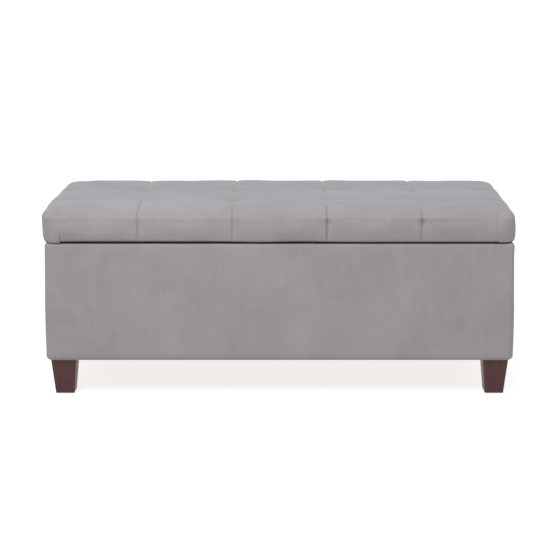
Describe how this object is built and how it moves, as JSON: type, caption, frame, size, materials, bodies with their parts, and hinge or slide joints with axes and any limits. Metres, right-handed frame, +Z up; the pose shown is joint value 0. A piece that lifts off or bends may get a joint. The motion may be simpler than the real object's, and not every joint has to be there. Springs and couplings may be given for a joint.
{
  "type": "storage bench",
  "caption": "Long upholstered storage bench: a padded box on tapered wooden legs, under a biscuit-tufted padded lid that is hinged at the back and held open by two stays.",
  "frame": {"origin": "on the floor, under the middle of the bench", "axes": "+Z up; the front faces -Y and the lid is hinged on the +Y side; +X along the bench, to the right seen from the front"},
  "size_m": [1.2, 0.45, 0.493],
  "materials": {
    "upholstery": "soft grey brushed microsuede, matte, with a faint mottled nap",
    "foam": "open-cell cushion foam and foam sheet",
    "lining_cloth": "black spun-bonded non-woven lining, matte",
    "plywood": "raw plywood",
    "softwood": "raw planed pine",
    "leg_wood": "dark red-brown stain under satin lacquer",
    "zinc_steel": "zinc-plated steel",
    "bumper_rubber": "black rubber",
    "glide_plastic": "black nylon on a steel nail",
    "twine": "waxed tufting twine"
  },
  "bodies": {
    "case": {"box_cover": "upholstery", "box_padding": "foam", "dust_cover": "lining_cloth", "floor_batten": "softwood", "floor_lining": "lining_cloth", "floor_panel": "plywood", "front_bottom_rail": "softwood", "front_left_leg": "leg_wood", "front_left_leg_block": "softwood", "front_left_post": "softwood", "front_lining": "lining_cloth", "front_panel": "plywood", "front_right_leg": "leg_wood", "front_right_leg_block": "softwood", "front_right_post": "softwood", "front_top_rail": "softwood", "hinge_box_screws": "zinc_steel", "hinge_pins": "zinc_steel", "left_bottom_rail": "softwood", "left_hinge_box_leaf": "zinc_steel", "left_lining": "lining_cloth", "left_panel": "plywood", "left_stay_plate": "zinc_steel", "left_top_rail": "softwood", "leg_bolts": "zinc_steel", "leg_glides": "glide_plastic", "leg_tee_nuts": "zinc_steel", "rear_bottom_rail": "softwood", "rear_left_leg": "leg_wood", "rear_left_leg_block": "softwood", "rear_left_post": "softwood", "rear_lining": "lining_cloth", "rear_panel": "plywood", "rear_right_leg": "leg_wood", "rear_right_leg_block": "softwood", "rear_right_post": "softwood", "rear_top_rail": "softwood", "right_bottom_rail": "softwood", "right_hinge_box_leaf": "zinc_steel", "right_lining": "lining_cloth", "right_panel": "plywood", "right_stay_plate": "zinc_steel", "right_top_rail": "softwood", "rim_bumpers": "bumper_rubber", "stay_plate_screws": "zinc_steel", "stay_studs": "zinc_steel"},
    "lid": {"lid_cover": "upholstery", "lid_foam": "foam", "lid_board": "plywood", "lid_lining": "lining_cloth", "tuft_ties": "twine", "left_hinge_lid_leaf": "zinc_steel", "right_hinge_lid_leaf": "zinc_steel", "hinge_lid_screws": "zinc_steel", "left_stay_bracket": "zinc_steel", "right_stay_bracket": "zinc_steel", "stay_bracket_screws": "zinc_steel", "stay_rivets": "zinc_steel"},
    "left_stay_arm": {"left_stay_arm": "zinc_steel"},
    "right_stay_arm": {"right_stay_arm": "zinc_steel"}
  },
  "joints": [
    {"name": "lid_hinge", "type": "hinge", "parent": "case", "child": "lid", "pos_m": [0, 0.222, 0.403], "axis": [-1, 0, 0], "range_deg": [0, 95]},
    {"name": "left_stay_pivot", "type": "hinge", "parent": "lid", "child": "left_stay_arm", "pos_m": [-0.5619, 0.07545, 0.39018], "axis": [-1, 0, 0], "range_deg": [-47.5, 0]},
    {"name": "right_stay_pivot", "type": "hinge", "parent": "lid", "child": "right_stay_arm", "pos_m": [0.5619, 0.07545, 0.39018], "axis": [-1, 0, 0], "range_deg": [-47.5, 0]}
  ],
  "couplings": [
    {"joint": "left_stay_pivot", "follows": "lid_hinge", "ratio": -0.5},
    {"joint": "right_stay_pivot", "follows": "lid_hinge", "ratio": -0.5}
  ]
}
